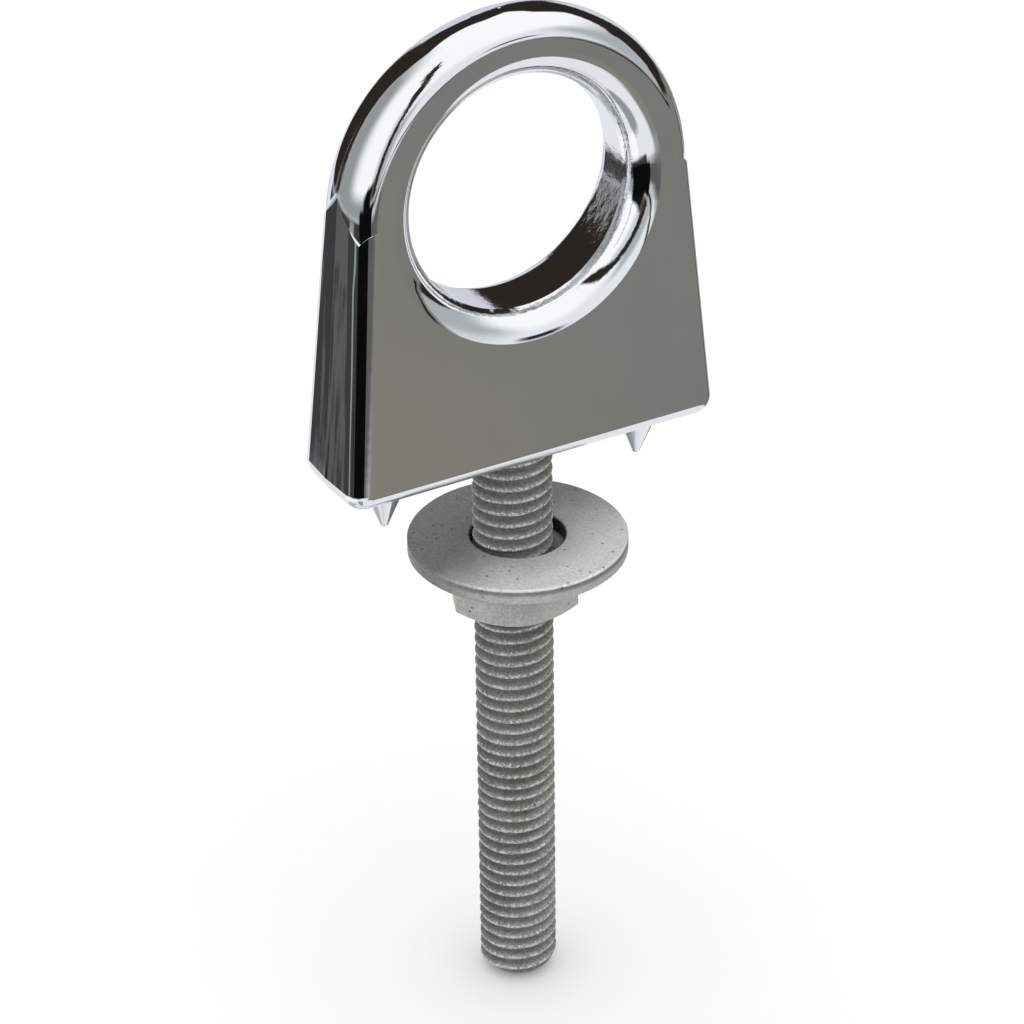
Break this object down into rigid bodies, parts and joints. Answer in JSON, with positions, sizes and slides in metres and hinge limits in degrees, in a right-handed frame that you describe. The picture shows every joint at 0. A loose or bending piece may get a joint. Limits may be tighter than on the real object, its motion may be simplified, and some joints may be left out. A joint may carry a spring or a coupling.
{
  "type": "bow eye",
  "caption": "Bow eye: a polished cast eye with a wedge-shaped base on a threaded stud, with a large washer and a hex nut.",
  "frame": {"origin": "centre of the casting's flat underside, on the stud's axis", "axes": "+Z from the stud's end to the crown of the eye, Y along the axis of the eye's hole, X across the casting's width"},
  "size_m": [0.048, 0.0258, 0.1278],
  "materials": {
    "chrome_casting": "polished chrome plate",
    "galvanised_stud": "galvanised, dull",
    "galvanised_washer": "galvanised, dull",
    "galvanised_nut": "galvanised, dull"
  },
  "bodies": {
    "eye": {"eye_casting": "chrome_casting", "stud": "galvanised_stud"},
    "washer": {"washer": "galvanised_washer"},
    "nut": {"hex_nut": "galvanised_nut"}
  },
  "joints": [
    {"name": "washer_slide", "type": "slide", "parent": "eye", "child": "washer", "axis": [0, 0, 1], "range_m": [-0.0514, 0.012]},
    {"name": "nut_spin", "type": "hinge", "parent": "washer", "child": "nut", "pos_m": [0, 0, 0], "axis": [0, 0, 1], "range_deg": [-11656, 2721]}
  ],
  "couplings": [
    {"joint": "washer_slide", "follows": "nut_spin", "m_per_rad": 0.00025266}
  ]
}
